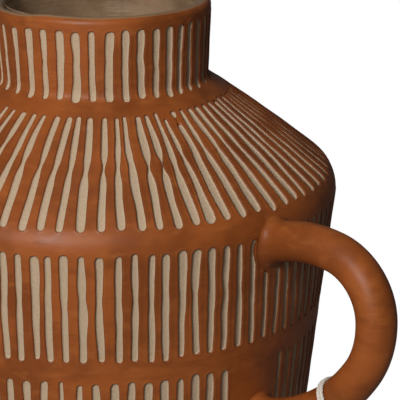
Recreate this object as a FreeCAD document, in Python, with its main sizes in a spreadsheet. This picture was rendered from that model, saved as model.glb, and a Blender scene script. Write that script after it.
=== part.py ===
"""Carved terracotta hydria with one loop handle and a loop of cotton string.

The jar is built as a potter builds a large one: a slab base, a thrown wall, a shoulder
and a neck luted together, and a rolled handle. A terracotta slip coat covers the pale
clay and is cut through in rows of upright strokes, and a glaze lines the inside.
Lengths are in millimetres and angles in degrees. The origin is the middle of the flat
base, +Z is up, and the handle lies along +X.
"""
import FreeCAD, Part
import math
import os
import re

import Sketcher
from FreeCAD import Placement, Rotation, Vector

doc = FreeCAD.newDocument("hydria_jar")
sheet = doc.addObject("Spreadsheet::Sheet", "sizes")

# Driving sizes of the whole jar, measured on the coated outside unless they say otherwise.
DRIVING = dict(
    shoulder_radius=115, shoulder_height=185.8, shoulder_slope=36.7, shoulder_round=16,
    body_taper=6.67,
    neck_radius=50.9, neck_lean=2.23, neck_length=37.7,
    coat=1.2, wall=5, glaze=0.5, bond=0.05,
    base_thickness=8, heel=3, cove=5, coat_start=4,
    wall_joint=14, neck_joint=8, neck_skirt=6,
    # Rows of carved strokes: how many, how wide, how long and how far apart.
    neck_strokes=40, neck_stroke_width=3.7, neck_stroke_length=31, neck_stroke_foot=0.6,
    shoulder_strokes=77, shoulder_stroke_width=4,
    shoulder_stroke_start=11.5, shoulder_stroke_end=9.6,
    upper_strokes=94, upper_stroke_length=51, upper_row_drop=9.5,
    middle_strokes=86, middle_stroke_length=50,
    lower_strokes=80, lower_row_foot=14.3,
    body_stroke_width=3.6, row_gap=11.5,
    strokes_missed=4, short_stroke_length=33,
    # The handle: a round roll of clay bent through four arcs, from its upper root on.
    handle_radius=9.2, handle_inset=6.5, handle_start_drop=14.7, handle_rise=23.4,
    bend_one=73.6, turn_one=32.4, bend_two=28.4, turn_two=77,
    bend_three=43, turn_three=38, bend_four=89, turn_four=52.4,
    root_flare=2.6, root_length=13, root_sink=1.2,
    # The cotton string: two turns side by side round the handle's lower arm, and its knot.
    string_diameter=1.6, string_gap=0.3, string_turns=2, string_pitch=2.3, string_slack=1.2,
    string_lean=5, string_place=16, string_drop=5, string_leave=35,
    knot_radius=2.3, tail_length=9, tail_spread=24,
)

# Sizes worked out from the driving ones, as formulas of the sheet.
DERIVED = dict(
    clay="coat + bond",
    lining="clay + wall + bond",
    inside="lining + glaze",
    neck_root="shoulder_height + (shoulder_radius - neck_radius) * tan(shoulder_slope)",
    # How far the shoulder's and the neck's corners move for each millimetre of offset.
    corner_up="(tan(shoulder_slope) / cos(body_taper) - 1 / cos(shoulder_slope))"
              " / (1 + tan(body_taper) * tan(shoulder_slope))",
    corner_out="corner_up * tan(body_taper) - 1 / cos(body_taper)",
    root_up="(tan(shoulder_slope) / cos(neck_lean) - 1 / cos(shoulder_slope))"
            " / (1 + tan(neck_lean) * tan(shoulder_slope))",
    root_out="root_up * tan(neck_lean) - 1 / cos(neck_lean)",
    shoulder_reach="tan((90 - shoulder_slope + body_taper) / 2)",
    edge_lean="(90 - shoulder_slope - body_taper) / 2",
    lip_depth="clay + wall / 2",
    lip_rise="neck_length - lip_depth",
    upper_row_top="shoulder_height - upper_row_drop",
    upper_row_foot="upper_row_top - upper_stroke_length",
    middle_row_top="upper_row_foot - row_gap",
    lower_row_top="middle_row_top - middle_stroke_length - row_gap",
    # Ends of the handle's four arcs: heading above the level, distance out and height.
    heading_one="handle_rise - turn_one",
    heading_two="heading_one - turn_two",
    heading_three="heading_two - turn_three",
    heading_four="heading_three - turn_four",
    handle_start="shoulder_radius - handle_inset",
    handle_top="shoulder_height - handle_start_drop",
    one_out="handle_start + bend_one * (sin(handle_rise) - sin(heading_one))",
    one_up="handle_top + bend_one * (cos(heading_one) - cos(handle_rise))",
    two_out="one_out + bend_two * (sin(heading_one) - sin(heading_two))",
    two_up="one_up + bend_two * (cos(heading_two) - cos(heading_one))",
    three_out="two_out + bend_three * (sin(heading_two) - sin(heading_three))",
    three_up="two_up + bend_three * (cos(heading_three) - cos(heading_two))",
    four_out="three_out + bend_four * (sin(heading_three) - sin(heading_four))",
    four_up="three_up + bend_four * (cos(heading_four) - cos(heading_three))",
)

names = set(DRIVING) | set(DERIVED)
for row, (name, value) in enumerate(list(DRIVING.items()) + list(DERIVED.items()), 1):
    sheet.set(f"A{row}", name)
    sheet.set(f"B{row}", str(value) if name in DRIVING else "=" + value)
    sheet.setAlias(f"B{row}", name)
doc.recompute()


def bound(text):
    """The formula with every size's name pointing at the sheet."""
    return re.sub(r"[a-z_]+", lambda m: "sizes." + m[0] if m[0] in names else m[0], text)


def number(text):
    """The formula's present value as a plain number."""
    result = sheet.evalExpression(bound(text))
    return float(getattr(result, "Value", result))


# Points of the jar's outline, each a pair of formulas (radius, height) for a surface
# that lies `inset` inside the coated outside.
def on_body(inset, height):
    return (f"shoulder_radius - (shoulder_height - ({height})) * tan(body_taper)"
            f" - ({inset}) / cos(body_taper)", height)


def on_shoulder(inset, back):
    """`back` is measured up the cone from the virtual corner of shoulder and body."""
    return (f"shoulder_radius - ({back}) * cos(shoulder_slope) - ({inset}) * sin(shoulder_slope)",
            f"shoulder_height + ({back}) * sin(shoulder_slope) - ({inset}) * cos(shoulder_slope)")


def below_root(inset, down):
    """`down` is measured down the cone from the virtual corner of neck and shoulder."""
    return (f"neck_radius + ({down}) * cos(shoulder_slope) - ({inset}) * sin(shoulder_slope)",
            f"neck_root - ({down}) * sin(shoulder_slope) - ({inset}) * cos(shoulder_slope)")


def on_neck(inset, rise):
    return (f"neck_radius + ({rise}) * sin(neck_lean) - ({inset}) * cos(neck_lean)",
            f"neck_root + ({rise}) * cos(neck_lean) + ({inset}) * sin(neck_lean)")


def edge_corner(inset):
    """The corner where the body and the shoulder cone would meet without the rounding."""
    return (f"shoulder_radius + ({inset}) * corner_out",
            f"shoulder_height + ({inset}) * corner_up")


def shoulder_arc(inset):
    """Both ends of the rounded shoulder edge, body side first, and the arc's radius."""
    bend = f"(shoulder_round - ({inset}))"
    corner = edge_corner(inset)
    low = (f"{corner[0]} - {bend} * shoulder_reach * sin(body_taper)",
           f"{corner[1]} - {bend} * shoulder_reach * cos(body_taper)")
    high = (f"{corner[0]} - {bend} * shoulder_reach * cos(shoulder_slope)",
            f"{corner[1]} + {bend} * shoulder_reach * sin(shoulder_slope)")
    return low, high, bend


def edge_bevels(inset):
    """The rounded edge as two flat bevels, for faces that the slip coat hides."""
    low, high, bend = shoulder_arc(inset)
    corner = edge_corner(inset)
    sink = f"{bend} * (sqrt(1 + shoulder_reach ^ 2) - 1)"
    middle = (f"{corner[0]} - {sink} * cos(edge_lean)", f"{corner[1]} - {sink} * sin(edge_lean)")
    return [low, middle, high]


def neck_corner(inset):
    """The hollow corner where the shoulder turns up into the neck."""
    return (f"neck_radius + ({inset}) * root_out", f"neck_root + ({inset}) * root_up")


LEFT, RIGHT = 1, -1


def draw(sketch, points, closed=True):
    """Draw an outline through points whose coordinates are formulas.

    A point is (x, y) where a straight line leads on, or (x, y, radius, side) where an arc
    leads on, bending to the LEFT or to the RIGHT. Each point is pinned by its formulas.
    """
    places = [Vector(number(p[0]), number(p[1]), 0) for p in points]
    count = len(points) if closed else len(points) - 1
    ends = []
    for i in range(count):
        start, stop = places[i], places[(i + 1) % len(points)]
        if len(points[i]) == 2:
            sketch.addGeometry(Part.LineSegment(start, stop))
            ends.append((1, 2))
            continue
        radius, side = number(points[i][2]), points[i][3]
        chord = stop - start
        across = Vector(-chord.y, chord.x, 0).normalize() * side
        height = math.sqrt(max(radius ** 2 - chord.Length ** 2 / 4, 0))
        centre = (start + stop) / 2 + across * height
        first, last = (start, stop) if side == LEFT else (stop, start)
        angles = [math.atan2(p.y - centre.y, p.x - centre.x) for p in (first, last)]
        circle = Part.Circle(centre, Vector(0, 0, 1), radius)
        sketch.addGeometry(Part.ArcOfCircle(circle, angles[0], angles[1]))
        ends.append((1, 2) if side == LEFT else (2, 1))
        row = sketch.addConstraint(Sketcher.Constraint("Radius", i, radius))
        sketch.setExpression(f"Constraints[{row}]", bound(points[i][2]))
    for i in range(count if closed else count - 1):
        other = (i + 1) % count
        sketch.addConstraint(Sketcher.Constraint("Coincident", i, ends[i][1], other, ends[other][0]))
    for i, place in enumerate(places):
        line, end = (i, ends[i][0]) if i < count else (count - 1, ends[-1][1])
        for kind, value, text in (("DistanceX", place.x, points[i][0]),
                                  ("DistanceY", place.y, points[i][1])):
            if text == "0":
                axis = -2 if kind == "DistanceX" else -1
                sketch.addConstraint(Sketcher.Constraint("PointOnObject", line, end, axis))
                continue
            row = sketch.addConstraint(Sketcher.Constraint(kind, -1, 1, line, end, value))
            sketch.setExpression(f"Constraints[{row}]", bound(text))


def new_sketch(body, name, plane):
    """A sketch on one of the body's own origin planes: XY_Plane, XZ_Plane or YZ_Plane."""
    sketch = body.newObject("Sketcher::SketchObject", name)
    origin = [f for f in body.Origin.OriginFeatures if f.Role == plane]
    sketch.AttachmentSupport = (origin[0], [""])
    sketch.MapMode = "FlatFace"
    return sketch


def new_body(label):
    body = doc.addObject("PartDesign::Body", label)
    body.Label = label
    return body


def revolve(body, sketch, axis):
    """Turn a sketch of the body about the sketch's own V_Axis or H_Axis."""
    turn = body.newObject("PartDesign::Revolution", sketch.Label + "_turn")
    turn.Profile = sketch
    turn.ReferenceAxis = (sketch, [axis])
    turn.Angle = 360
    body.Tip = turn


def turned(label, outline):
    """A body turned about the jar's axis from its outline of (radius, height) points."""
    body = new_body(label)
    sketch = new_sketch(body, label + "_outline", "XZ_Plane")
    draw(sketch, outline)
    revolve(body, sketch, "V_Axis")
    return body


def cut_strokes(body, name, radii, heights, slope, pitch, count, first="0"):
    """Cut one stroke through the coat and repeat it round the axis, `pitch` degrees apart.

    The cut is a wedge whose two sides lie in planes through the jar's axis. `slope` is half
    its width over its radius, and `first` its angle from the handle's side of the jar.
    """
    near, far = radii
    foot, top = heights
    sketch = new_sketch(body, name + "_stroke", "XY_Plane")
    draw(sketch, [(near, f"-({near}) * {slope}"), (far, f"-({far}) * {slope}"),
                  (far, f"({far}) * {slope}"), (near, f"({near}) * {slope}")])
    sketch.AttachmentOffset = Placement(Vector(), Rotation(Vector(0, 0, 1), 1))
    sketch.setExpression("AttachmentOffset.Rotation.Angle", bound(first))
    sketch.setExpression("AttachmentOffset.Base.z", bound(foot))
    cut = body.newObject("PartDesign::Pocket", name + "_cut")
    cut.Profile = sketch
    cut.setExpression("Length", bound(f"{top} - ({foot})"))
    cut.Reversed = True
    cut.Refine = False
    ring = body.newObject("PartDesign::PolarPattern", name + "_row")
    ring.Originals = [cut]
    ring.Axis = ([f for f in body.Origin.OriginFeatures if f.Role == "Z_Axis"][0], [""])
    ring.Mode = "Spacing"
    ring.setExpression("Offset", bound(pitch))
    ring.setExpression("Occurrences", bound(count))
    ring.Refine = False
    body.Tip = ring


# Slab base: a flat disc of pale clay with its lower edge taken off.
turned("base_slab", [
    ("0", "0"),
    (on_body("clay", "0")[0] + " - heel", "0"),
    on_body("clay", "heel"),
    on_body("clay", "base_thickness"),
    ("0", "base_thickness"),
])

# Thrown wall, from the slab to just past the rounded shoulder edge, where its rim is
# cut square to the cone to take the shoulder.
turned("body_wall", [
    on_body("clay", "base_thickness + bond"),
    *edge_bevels("clay"),
    on_shoulder("clay", "wall_joint"),
    on_shoulder("clay + wall", "wall_joint"),
    edge_corner("clay + wall"),
    on_body("clay + wall", "base_thickness + bond + cove"),
    (on_body("clay + wall", "base_thickness + bond")[0] + " - cove", "base_thickness + bond"),
])

# Shoulder cone, luted to the wall below and rising into the foot of the neck.
turned("shoulder", [
    on_shoulder("clay", "wall_joint + bond"),
    neck_corner("clay"),
    on_neck("clay", "neck_joint"),
    on_neck("clay + wall", "neck_joint"),
    neck_corner("clay + wall"),
    on_shoulder("clay + wall", "wall_joint + bond"),
])

def rim_bevels(half):
    """The rim's top as three flat bevels of a half round, for faces that the slip hides."""
    return [on_neck(f"lip_depth - ({half})", "lip_rise"),
            on_neck(f"lip_depth - ({half}) * cos(60)", f"lip_rise + ({half}) * sin(60)"),
            on_neck(f"lip_depth + ({half}) * cos(60)", f"lip_rise + ({half}) * sin(60)"),
            on_neck(f"lip_depth + ({half})", "lip_rise")]


# Neck collar, with the rim that carries the rounded lip.
turned("neck", [
    on_neck("clay", "neck_joint + bond"),
    *rim_bevels("wall / 2"),
    on_neck("clay + wall", "neck_joint + bond"),
])

# Glaze lining, poured in and drained: floor, wall, shoulder and neck up to the lip.
floor_under, floor_top = "base_thickness + bond", "base_thickness + bond + glaze"
turned("inner_glaze", [
    ("0", floor_under),
    (on_body("lining", floor_under)[0] + " - cove", floor_under),
    on_body("lining", floor_under + " + cove"),
    edge_corner("lining"),
    neck_corner("lining"),
    on_neck("lining", "lip_rise - bond"),
    on_neck("inside", "lip_rise - bond"),
    neck_corner("inside"),
    edge_corner("inside"),
    on_body("inside", floor_top + " + cove"),
    (on_body("inside", floor_top)[0] + " - cove", floor_top),
    ("0", floor_top),
])

# Slip coat of the neck: over the lip, down the collar and out onto the shoulder, with
# its row of strokes cut through.
neck_coat = turned("neck_coat", [
    below_root("0", "neck_skirt"),
    neck_corner("0"),
    (*on_neck("0", "lip_rise"), "lip_depth", LEFT),
    (*on_neck("lip_depth", "lip_rise + lip_depth"), "lip_depth", LEFT),
    on_neck("2 * lip_depth", "lip_rise"),
    *reversed(rim_bevels("wall / 2 + bond")),
    neck_corner("coat"),
    below_root("coat", "neck_skirt"),
])
neck_foot = "(neck_root + neck_stroke_foot)"
cut_strokes(neck_coat, "neck",
            (on_neck("3 * coat", "0")[0], on_neck("-coat", "neck_length")[0]),
            (neck_foot, f"{neck_foot} + neck_stroke_length"),
            "neck_stroke_width / 2 / neck_radius", "360 / neck_strokes", "neck_strokes")

# Slip coat of the shoulder cone. Its strokes fan out from the neck and grow wider on
# the way down.
edge_reach = "shoulder_round * shoulder_reach"
shoulder_coat = turned("shoulder_coat", [
    on_shoulder("0", edge_reach),
    below_root("0", "neck_skirt + bond"),
    below_root("coat", "neck_skirt + bond"),
    on_shoulder("coat", edge_reach),
])
stroke_near = "neck_radius + shoulder_stroke_start * cos(shoulder_slope)"
stroke_far = "shoulder_radius - shoulder_stroke_end * cos(shoulder_slope)"
cut_strokes(shoulder_coat, "shoulder", (stroke_near, stroke_far),
            (on_shoulder("3 * coat", "shoulder_stroke_end")[1],
             below_root("-coat", "shoulder_stroke_start")[1]),
            f"shoulder_stroke_width / 2 / ({stroke_far})",
            "360 / shoulder_strokes", "shoulder_strokes")


# Handle: a roll of clay with flared ends, luted to the wall under the shoulder edge.
def clay_roll(label, grow):
    """The handle as a solid `grow` thicker all round than the real one."""
    body = new_body(label)
    spine = new_sketch(body, label + "_spine", "XZ_Plane")
    draw(spine, [
        ("handle_start", "handle_top", "bend_one", RIGHT),
        ("one_out", "one_up", "bend_two", RIGHT),
        ("two_out", "two_up", "bend_three", RIGHT),
        ("three_out", "three_up", "bend_four", RIGHT),
        ("four_out", "four_up"),
    ], closed=False)
    ring = new_sketch(body, label + "_ring", "YZ_Plane")
    ring.AttachmentOffset = Placement(Vector(), Rotation(Vector(-1, 0, 0), 1))
    ring.setExpression("AttachmentOffset.Base.y", bound("handle_top"))
    ring.setExpression("AttachmentOffset.Base.z", bound("handle_start"))
    ring.setExpression("AttachmentOffset.Rotation.Angle", bound("handle_rise"))
    thickness = f"handle_radius + {grow}"
    ring.addGeometry(Part.Circle(Vector(), Vector(0, 0, 1), number(thickness)))
    ring.addConstraint(Sketcher.Constraint("Coincident", 0, 3, -1, 1))
    row = ring.addConstraint(Sketcher.Constraint("Radius", 0, number(thickness)))
    ring.setExpression(f"Constraints[{row}]", bound(thickness))
    pipe = body.newObject("PartDesign::AdditivePipe", label + "_pipe")
    pipe.Profile = ring
    pipe.Spine = (spine, [])
    body.Tip = pipe
    for root, out, up, heading in (("upper", "handle_start", "handle_top", "handle_rise"),
                                   ("lower", "four_out", "four_up", "heading_four + 180")):
        flare = new_sketch(body, f"{label}_{root}_flare", "XZ_Plane")
        flare.AttachmentOffset = Placement(Vector(), Rotation(Vector(0, 0, 1), 1))
        flare.setExpression("AttachmentOffset.Base.x", bound(out))
        flare.setExpression("AttachmentOffset.Base.y", bound(up))
        flare.setExpression("AttachmentOffset.Rotation.Angle", bound(heading))
        drop = "(root_flare + root_sink)"
        draw(flare, [
            ("0", "0"),
            ("root_length", "0"),
            ("root_length", f"{thickness} - root_sink",
             f"(root_length ^ 2 + {drop} ^ 2) / (2 * {drop})", RIGHT),
            ("0", f"{thickness} + root_flare"),
        ])
        revolve(body, flare, "H_Axis")
    return body


def open_for_roots(coat, name):
    """Let the handle's roots through a coat."""
    room = coat.newObject("PartDesign::Boolean", name + "_root_room")
    room.Type = "Cut"
    room.Refine = False
    room.setObjects([clay_roll(name + "_roll_room", "bond")])
    coat.Tip = room


clay_core = turned("clay_core", [
    ("0", "0"),
    on_body("coat", "0"),
    *edge_bevels("coat"),
    on_shoulder("coat", "wall_joint"),
    ("0", on_shoulder("coat", "wall_joint")[1]),
])
handle = doc.addObject("Part::Cut", "handle")
handle.Label = "handle"
handle.Base = clay_roll("handle_roll", "0")
handle.Tool = clay_core

# Slip coat of the rounded shoulder edge, a plain band between two rows of strokes.
outer_low, outer_high, outer_bend = shoulder_arc("0")
edge_coat = turned("edge_coat", [
    (*outer_low, outer_bend, LEFT),
    on_shoulder("0", edge_reach + " - bond"),
    on_shoulder("coat", edge_reach + " - bond"),
    *reversed(edge_bevels("coat")),
])
open_for_roots(edge_coat, "edge")

# Slip coats of the body: three bands, each with a row of strokes, meeting midway between
# the rows. The upper two leave room for the handle's roots.
def band_coat(label, foot, top):
    return turned(label, [on_body("0", foot), on_body("0", top),
                          on_body("coat", top), on_body("coat", foot)])


def band_row(coat, name, foot, length, pitch, count, first):
    top = f"{foot} + {length}"
    radii = on_body("3 * coat", foot)[0], on_body("-coat", top)[0]
    slope = f"body_stroke_width / 2 / ({on_body('0', foot)[0]})"
    cut_strokes(coat, name, radii, (foot, top), slope, pitch, count, first)


def past_handle(strokes):
    """Angle of the first stroke past those that the handle's root takes away."""
    return f"180 * (strokes_missed + 1) / {strokes}"


upper_seam = "upper_row_foot - row_gap / 2"
lower_seam = "lower_row_top + row_gap / 2"

# Upper band, with a few shorter strokes under the handle's upper root.
upper_coat = band_coat("upper_coat", upper_seam, outer_low[1] + " - bond")
open_for_roots(upper_coat, "upper")
band_row(upper_coat, "short", "upper_row_foot", "short_stroke_length", "360 / upper_strokes",
         "strokes_missed", "180 * (1 - strokes_missed) / upper_strokes")
band_row(upper_coat, "upper", "upper_row_foot", "upper_stroke_length", "360 / upper_strokes",
         "upper_strokes - strokes_missed", past_handle("upper_strokes"))

# Middle band, round the handle's lower root.
middle_coat = band_coat("middle_coat", lower_seam, upper_seam + " - bond")
open_for_roots(middle_coat, "middle")
band_row(middle_coat, "middle", "middle_row_top - middle_stroke_length",
         "middle_stroke_length", "360 / middle_strokes",
         "middle_strokes - strokes_missed", past_handle("middle_strokes"))

# Lower band, ending just above the table.
lower_coat = band_coat("lower_coat", "coat_start", lower_seam + " - bond")
band_row(lower_coat, "lower", "lower_row_foot", "lower_row_top - lower_row_foot",
         "360 / lower_strokes", "lower_strokes", "180 / lower_strokes")


# Cotton string: one strand wound in two turns, side by side, loosely round the lower arm.
def arc_joint(start, start_way, stop, stop_way):
    """Two tangent arcs that leave start along start_way and reach stop along stop_way."""
    chord = stop - start
    ways = start_way + stop_way
    square = 2 * (1 - start_way.dot(stop_way))
    across = chord.dot(ways)
    reach = (math.sqrt(across ** 2 + square * chord.dot(chord)) - across) / square
    knee_a, knee_b = start + start_way * reach, stop - stop_way * reach
    middle = (knee_a + knee_b) / 2
    edges = []
    for first, knee, last in ((start, knee_a, middle), (middle, knee_b, stop)):
        half = (first + last) / 2
        lean = (knee - first).normalize().dot((last - first).normalize())
        rise = (last - first).Length / 2 * math.tan(math.acos(min(lean, 1)) / 2)
        bulge = half + (knee - half).normalize() * rise
        edges.append(Part.Arc(first, bulge, last).toShape())
    return edges


along = math.radians(number("heading_three - string_place"))
arm_way = Vector(math.cos(along), 0, math.sin(along))
arm_under = Vector(-math.sin(along), 0, math.cos(along))
bend = number("bend_four")
last_heading = math.radians(number("heading_three"))
arm_place = Vector(number("three_out") + bend * (math.sin(last_heading) - math.sin(along)), 0,
                   number("three_up") + bend * (math.cos(along) - math.cos(last_heading)))
diameter, slack = number("string_diameter"), number("string_slack")
loop_radius = number("handle_radius + string_diameter / 2 + string_gap") + slack
turns, pitch, lean = (number("string_" + word) for word in ("turns", "pitch", "lean"))
leave = math.radians(number("string_leave"))


def on_string(angle):
    """Place and heading of the string at an angle wound from under the arm."""
    shift = pitch * (angle / (2 * math.pi) - turns / 2) - lean * math.sin(angle)
    place = (arm_place + arm_way * shift + Vector(0, loop_radius * math.sin(angle), 0)
             + arm_under * (slack + loop_radius * math.cos(angle)))
    way = (arm_way * (pitch / (2 * math.pi) - lean * math.cos(angle))
           + Vector(0, loop_radius * math.cos(angle), 0)
           - arm_under * (loop_radius * math.sin(angle)))
    return place, way.normalize()


knot_radius = number("knot_radius")
knot_place = arm_place + arm_under * (slack + loop_radius + number("string_drop"))
steps = round(4 * turns)
stations = [on_string(leave + (2 * math.pi * turns - 2 * leave) * i / steps)
            for i in range(steps + 1)]
knot_gap = number("bond")
from_knot = (stations[0][0] - knot_place).normalize()
into_knot = (knot_place - stations[-1][0]).normalize()
stations.insert(0, (knot_place + from_knot * (knot_radius + knot_gap), from_knot))
stations.append((knot_place - into_knot * (knot_radius + knot_gap), into_knot))
spine_edges = []
for (start, start_way), (stop, stop_way) in zip(stations, stations[1:]):
    spine_edges += arc_joint(start, start_way, stop, stop_way)
spine = Part.Wire(spine_edges)
ring = Part.Wire(Part.Circle(stations[0][0], stations[0][1], diameter / 2).toShape())
shell = Part.BRepOffsetAPI.MakePipeShell(spine)
shell.add(ring)
shell.build()
shell.makeSolid()
string = doc.addObject("Part::Feature", "string")
string.Label = "string"
string.Shape = shell.shape()

radii = [edge.Curve.Radius for edge in spine_edges if hasattr(edge.Curve, "Radius")]
points = spine.discretize(400)
spacing = spine.Length / (len(points) - 1)
skip = math.ceil(3 * diameter / spacing)
least = min((a - b).Length for i, a in enumerate(points) for b in points[i + skip:]) - diameter
print(f"string: length {spine.Length:.1f}, least radius {min(radii):.1f}, least gap {least:.2f},"
      " volume over section times length"
      f" {string.Shape.Volume / (spine.Length * math.pi * diameter ** 2 / 4):.4f}")

# Knot of the string, with its two cut tails hanging down.
ball = doc.addObject("Part::Sphere", "knot_ball")
ball.setExpression("Radius", bound("knot_radius"))
ball.Placement = Placement(knot_place, Rotation())
pieces = [ball]
for side in (LEFT, RIGHT):
    tail = doc.addObject("Part::Cylinder", "knot_tail")
    tail.setExpression("Radius", bound("string_diameter / 2"))
    tail.setExpression("Height", bound("knot_radius + tail_length"))
    spread = Rotation(Vector(1, 0, 0), 180 + side * number("tail_spread"))
    tail.Placement = Placement(knot_place, spread)
    pieces.append(tail)
knot = doc.addObject("Part::MultiFuse", "string_knot")
knot.Label = "string_knot"
knot.Shapes = pieces

NODES = ["base_slab", "body_wall", "shoulder", "neck", "inner_glaze", "neck_coat",
         "shoulder_coat", "edge_coat", "upper_coat", "middle_coat", "lower_coat", "handle",
         "string", "string_knot"]
doc.recompute()
for thing in doc.Objects:
    if {"Invalid", "Error"} & set(thing.State):
        raise RuntimeError(f"{thing.Label} failed: {thing.State}")
os.makedirs("parts", exist_ok=True)
for label in NODES:
    shape = doc.getObjectsByLabel(label)[0].Shape
    if shape.isNull() or not shape.isValid():
        raise RuntimeError(f"{label} has no valid shape")
    print(f"{label}: {len(shape.Solids)} solid(s), {len(shape.Faces)} faces,"
          f" {shape.Volume:.0f} mm3")
    shape.exportStep(f"parts/{label}.step")
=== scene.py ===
"""Looks of the carved hydria jar: a terracotta slip coat cut through in rows of strokes,
a round loop handle, a taupe glaze inside and a loop of cotton string on the handle."""
import math

import bpy
import numpy as np
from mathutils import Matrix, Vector


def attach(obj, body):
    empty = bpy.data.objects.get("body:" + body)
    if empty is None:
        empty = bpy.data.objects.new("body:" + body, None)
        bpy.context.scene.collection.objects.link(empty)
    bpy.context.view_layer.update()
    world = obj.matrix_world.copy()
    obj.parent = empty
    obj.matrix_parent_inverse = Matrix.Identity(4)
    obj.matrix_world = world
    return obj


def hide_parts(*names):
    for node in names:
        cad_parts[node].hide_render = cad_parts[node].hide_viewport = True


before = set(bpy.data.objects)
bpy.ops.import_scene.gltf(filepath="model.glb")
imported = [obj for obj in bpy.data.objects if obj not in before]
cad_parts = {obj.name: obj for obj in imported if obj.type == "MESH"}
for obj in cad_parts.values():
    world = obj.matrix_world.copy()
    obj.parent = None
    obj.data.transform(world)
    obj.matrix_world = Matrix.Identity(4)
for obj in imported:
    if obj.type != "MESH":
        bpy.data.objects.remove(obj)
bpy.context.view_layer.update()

# Camera: it stands where the photograph was taken from, a little above the lip and to the
# left of the handle, with a long lens. Its place comes from the fit of the jar's outline.
CAMERA_PLACE = (0.6464, -0.6028, 0.4394)
CAMERA_HEADING, CAMERA_TILT = math.radians(133.93), math.radians(-17.04)
LENS, SENSOR = 166.9, 36

camera_data = bpy.data.cameras.new("camera")
camera_data.lens = LENS
camera_data.sensor_width = SENSOR
camera = bpy.data.objects.new("camera", camera_data)
bpy.context.collection.objects.link(camera)
looking = Vector((math.cos(CAMERA_TILT) * math.cos(CAMERA_HEADING),
                  math.cos(CAMERA_TILT) * math.sin(CAMERA_HEADING), math.sin(CAMERA_TILT)))
camera.location = CAMERA_PLACE
camera.rotation_euler = looking.to_track_quat("-Z", "Y").to_euler()
bpy.context.scene.camera = camera
bpy.context.scene.view_settings.view_transform = "Standard"

# Cotton string: one soft twisted strand, wound in two loose turns round the handle's lower
# arm and tied below it. Its route is the source's, in millimetres, slid 3 mm up the arm and
# leaned the other way, as the photograph shows it.
ARM_PLACE = np.array([151.6, 0, 106.65])
ARM_WAY = np.array([-0.7655, 0, -0.6434])
ARM_UNDER = np.array([0.6434, 0, -0.7655])
STRING_DIAMETER, STRING_SLACK, LOOP_RADIUS = 1.7, 0.8, 11.5
STRING_TURNS, STRING_PITCH, STRING_LEAN, STRING_LEAVE = 2, 2.2, -2, math.radians(35)
PLIES, PLY_LAY, PLY_SWELL = 3, 6, 0.13
KNOT_RADIUS, KNOT_DROP = 2.3, 5
KNOT_PLACE = ARM_PLACE + ARM_UNDER * (STRING_SLACK + LOOP_RADIUS + KNOT_DROP)
MM = 0.001


def link_piece(name, mesh, node_names):
    """Show a mesh as a piece that rides on the jar and stands for the CAD nodes named."""
    piece = bpy.data.objects.new(name, mesh)
    bpy.context.collection.objects.link(piece)
    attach(piece, "root")
    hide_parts(*node_names)
    return piece


def grid_mesh(name, points, wrap_rows, values=None, uv=None, smooth_rows=None):
    """A mesh of quads over an array of points (rows, columns, 3) in millimetres.

    Columns always close on themselves, rows only where wrap_rows is set. Row by row the
    points run anticlockwise round the piece as its rows climb, so faces point outwards.
    values is a dict of one number per point, and uv an array (rows, columns, 2). Faces
    past smooth_rows stay flat, so the edge between the two is sharp. Where the rows don't
    close on themselves, a flat face closes each end.
    """
    rows, columns = points.shape[:2]
    row = np.arange(rows if wrap_rows else rows - 1)[:, None]
    column = np.arange(columns)[None, :]
    above, beside = (row + 1) % rows, (column + 1) % columns
    quads = np.stack([row * columns + column, row * columns + beside,
                      above * columns + beside, above * columns + column], -1).reshape(-1, 4)
    corners, starts = quads.ravel(), np.arange(0, quads.size, 4)
    smooth = np.broadcast_to(row < (smooth_rows or rows), (len(row), columns)).ravel()
    if not wrap_rows:
        first, last = np.arange(columns)[::-1], np.arange(columns) + (rows - 1) * columns
        corners = np.concatenate([corners, first, last])
        starts = np.concatenate([starts, [quads.size, quads.size + columns]])
        smooth = np.concatenate([smooth, [False, False]])
    mesh = bpy.data.meshes.new(name)
    mesh.vertices.add(rows * columns)
    mesh.vertices.foreach_set("co", (points * MM).astype(np.float32).ravel())
    mesh.loops.add(len(corners))
    mesh.loops.foreach_set("vertex_index", corners.astype(np.int32))
    mesh.polygons.add(len(starts))
    mesh.polygons.foreach_set("loop_start", starts.astype(np.int32))
    mesh.polygons.foreach_set("use_smooth", smooth)
    for label, numbers in (values or {}).items():
        layer = mesh.attributes.new(label, "FLOAT", "POINT")
        layer.data.foreach_set("value", numbers.astype(np.float32).ravel())
    if uv is not None:
        layer = mesh.uv_layers.new(name="along")
        corner_uv = uv.reshape(-1, 2)[corners]
        wrapped = np.tile(column == columns - 1, (len(row), 1)).ravel()
        corner_uv[:quads.size].reshape(-1, 4, 2)[wrapped, 1:3, 0] += 1
        layer.data.foreach_set("uv", corner_uv.astype(np.float32).ravel())
    mesh.update(calc_edges=True)
    if smooth_rows:
        ends = np.empty(len(mesh.edges) * 2, dtype=np.int32)
        mesh.edges.foreach_get("vertices", ends)
        end_rows = ends.reshape(-1, 2) // columns
        border = (end_rows[:, 0] == end_rows[:, 1]) & np.isin(end_rows[:, 0], (0, smooth_rows))
        sharp = mesh.attributes.new("sharp_edge", "BOOLEAN", "EDGE")
        sharp.data.foreach_set("value", border)
    return mesh


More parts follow.
